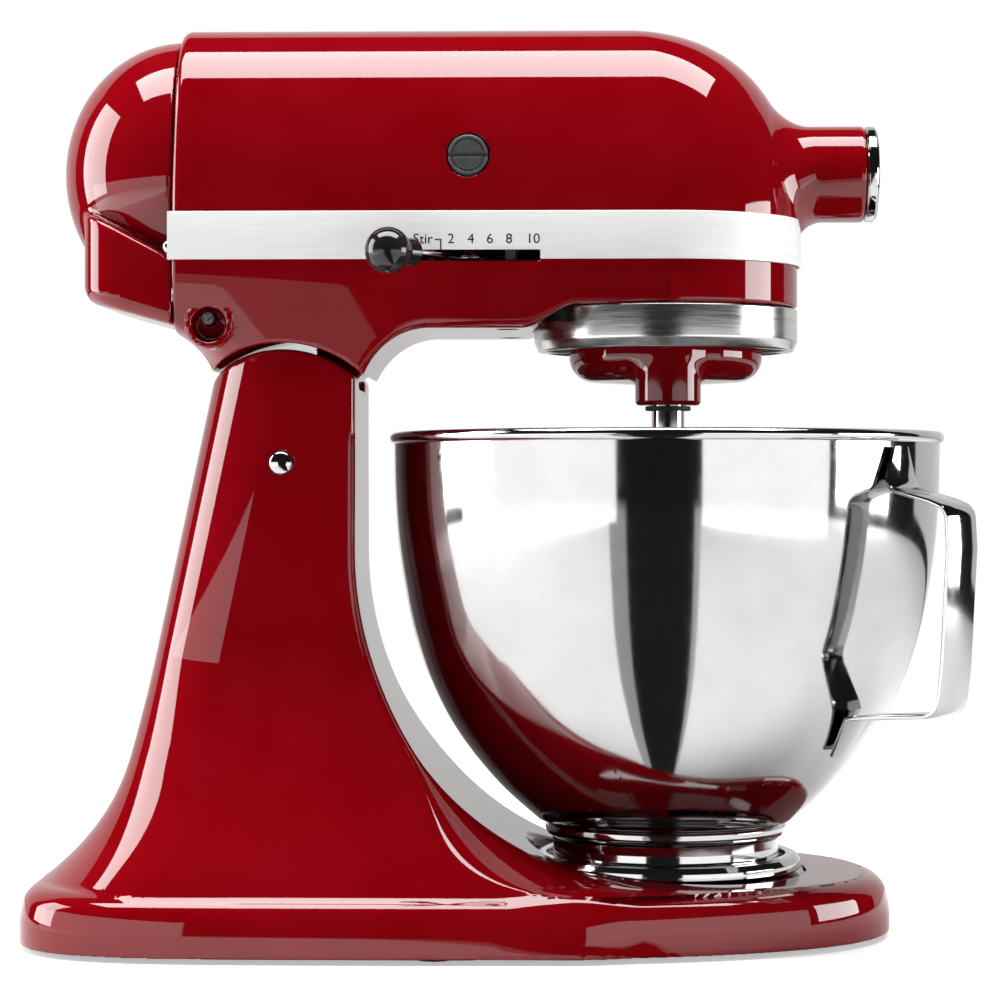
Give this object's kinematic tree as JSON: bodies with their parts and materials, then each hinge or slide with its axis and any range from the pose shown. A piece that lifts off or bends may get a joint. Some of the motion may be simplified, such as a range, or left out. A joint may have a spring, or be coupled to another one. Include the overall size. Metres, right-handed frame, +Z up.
{
  "type": "stand mixer",
  "caption": "Tilt-head stand mixer in red enamel with a polished steel bowl, planetary drive, flat beater and front attachment hub.",
  "frame": {"origin": "on the floor under the middle of the object's box", "axes": "+X the way the head points, +Z up, the speed lever is on the -Y side"},
  "size_m": [0.3604, 0.218, 0.3538],
  "materials": {
    "enamel": "high gloss deep red enamel",
    "polished_steel": "mirror polish",
    "brushed_steel": "fine brushed",
    "satin_aluminium": "light satin",
    "burnished_aluminium": "burnished",
    "black_plastic": "gloss",
    "grey_plastic": "satin",
    "rubber": "matte",
    "carbon": "matte carbon",
    "motor_metal": "lacquered windings on laminations",
    "nylon": "satin",
    "cast_metal": "as cast",
    "plain_steel": "machined"
  },
  "bodies": {
    "stand": {"foot_casting": "enamel", "pedestal": "enamel", "bowl_clamp_plate": "polished_steel", "hinge_pin": "polished_steel", "height_screw": "plain_steel", "pedestal_bolt_1": "plain_steel", "pedestal_bolt_2": "plain_steel", "pedestal_bolt_3": "plain_steel", "pedestal_bolt_4": "plain_steel", "rubber_foot_1": "rubber", "rubber_foot_2": "rubber", "rubber_foot_3": "rubber", "rubber_foot_4": "rubber", "rubber_foot_5": "rubber", "clamp_screw_1": "plain_steel", "clamp_screw_2": "plain_steel", "clamp_screw_3": "plain_steel"},
    "head": {"motor_housing": "enamel", "lower_gear_case": "enamel", "end_cover": "enamel", "trim_band": "satin_aluminium", "trim_band_screw": "polished_steel", "brush_cap_1": "grey_plastic", "brush_cap_2": "grey_plastic", "carbon_brush_1": "carbon", "carbon_brush_2": "carbon", "brush_spring_1": "plain_steel", "brush_spring_2": "plain_steel", "field_stator": "motor_metal", "rear_bearing_bracket": "cast_metal", "front_bearing": "plain_steel", "gear_bracket": "cast_metal", "governor_plate": "nylon", "drip_ring": "brushed_steel", "internal_ring_gear": "cast_metal", "hub_bush": "brushed_steel", "cord_inlet_bush": "rubber", "case_screw_1": "plain_steel", "case_screw_2": "plain_steel", "lock_cross_pin": "plain_steel"},
    "planetary": {"planetary_hub": "enamel", "centre_shaft": "plain_steel", "centre_gear": "cast_metal"},
    "agitator": {"agitator_shaft": "polished_steel", "planet_pinion": "plain_steel", "shaft_washer": "rubber", "flat_beater": "burnished_aluminium"},
    "rotor": {"armature": "motor_metal"},
    "worm_gear": {"worm_wheel": "nylon"},
    "hub_drive": {"hub_drive_shaft": "plain_steel"},
    "speed_control": {"speed_lever": "polished_steel", "speed_knob": "black_plastic"},
    "lock_control": {"lock_lever": "polished_steel", "lock_knob": "black_plastic"},
    "lock_bolt": {"lock_plunger": "plain_steel"},
    "hub_screw": {"hub_knob": "black_plastic"},
    "hub_cover": {"hub_cap": "polished_steel"},
    "bowl": {"bowl_shell": "polished_steel", "bowl_foot": "polished_steel", "bowl_handle": "polished_steel"}
  },
  "joints": [
    {"name": "head_tilt", "type": "hinge", "parent": "stand", "child": "head", "pos_m": [-0.0802, 0, 0.1836], "axis": [0, -1, 0], "range_deg": [0, 50]},
    {"name": "planetary_spin", "type": "hinge", "parent": "head", "child": "planetary", "pos_m": [0.0678, 0, 0.24], "axis": [0, 0, 1], "continuous": true},
    {"name": "agitator_spin", "type": "hinge", "parent": "planetary", "child": "agitator", "pos_m": [0.0678, -0.03, 0.22], "axis": [0, 0, 1], "continuous": true},
    {"name": "worm_wheel_spin", "type": "hinge", "parent": "head", "child": "worm_gear", "pos_m": [0.0297, 0.024, 0.28], "axis": [0, 0, 1], "continuous": true},
    {"name": "armature_spin", "type": "hinge", "parent": "head", "child": "rotor", "pos_m": [0, 0, 0.3], "axis": [1, 0, 0], "continuous": true},
    {"name": "hub_drive_spin", "type": "hinge", "parent": "head", "child": "hub_drive", "pos_m": [0.12, 0, 0.2975], "axis": [1, 0, 0], "continuous": true},
    {"name": "speed_lever_swing", "type": "hinge", "parent": "head", "child": "speed_control", "pos_m": [-0.0085, -0.036, 0.262], "axis": [0, 0, 1], "range_deg": [0, 70]},
    {"name": "lock_lever_swing", "type": "hinge", "parent": "head", "child": "lock_control", "pos_m": [-0.0085, 0.036, 0.262], "axis": [0, 0, -1], "range_deg": [0, 40]},
    {"name": "lock_bolt_slide", "type": "slide", "parent": "head", "child": "lock_bolt", "axis": [0.4848, 0, -0.8746], "range_m": [0, 0.004]},
    {"name": "hub_screw_turn", "type": "hinge", "parent": "head", "child": "hub_screw", "pos_m": [0.134, 0.03, 0.2975], "axis": [0, 1, 0], "range_deg": [0, 720]},
    {"name": "hub_cap_pull", "type": "slide", "parent": "head", "child": "hub_cover", "axis": [1, 0, 0], "range_m": [0, 0.03]},
    {"name": "bowl_twist", "type": "hinge", "parent": "stand", "child": "bowl", "pos_m": [0.0678, 0, 0.027], "axis": [0, 0, 1], "range_deg": [-30, 0]}
  ],
  "couplings": [
    {"joint": "agitator_spin", "follows": "planetary_spin", "ratio": -3.6667},
    {"joint": "worm_wheel_spin", "follows": "planetary_spin", "ratio": -4},
    {"joint": "armature_spin", "follows": "planetary_spin", "ratio": 80},
    {"joint": "hub_drive_spin", "follows": "planetary_spin", "ratio": 1.7143},
    {"joint": "lock_bolt_slide", "follows": "lock_lever_swing", "m_per_rad": 0.0057296}
  ]
}
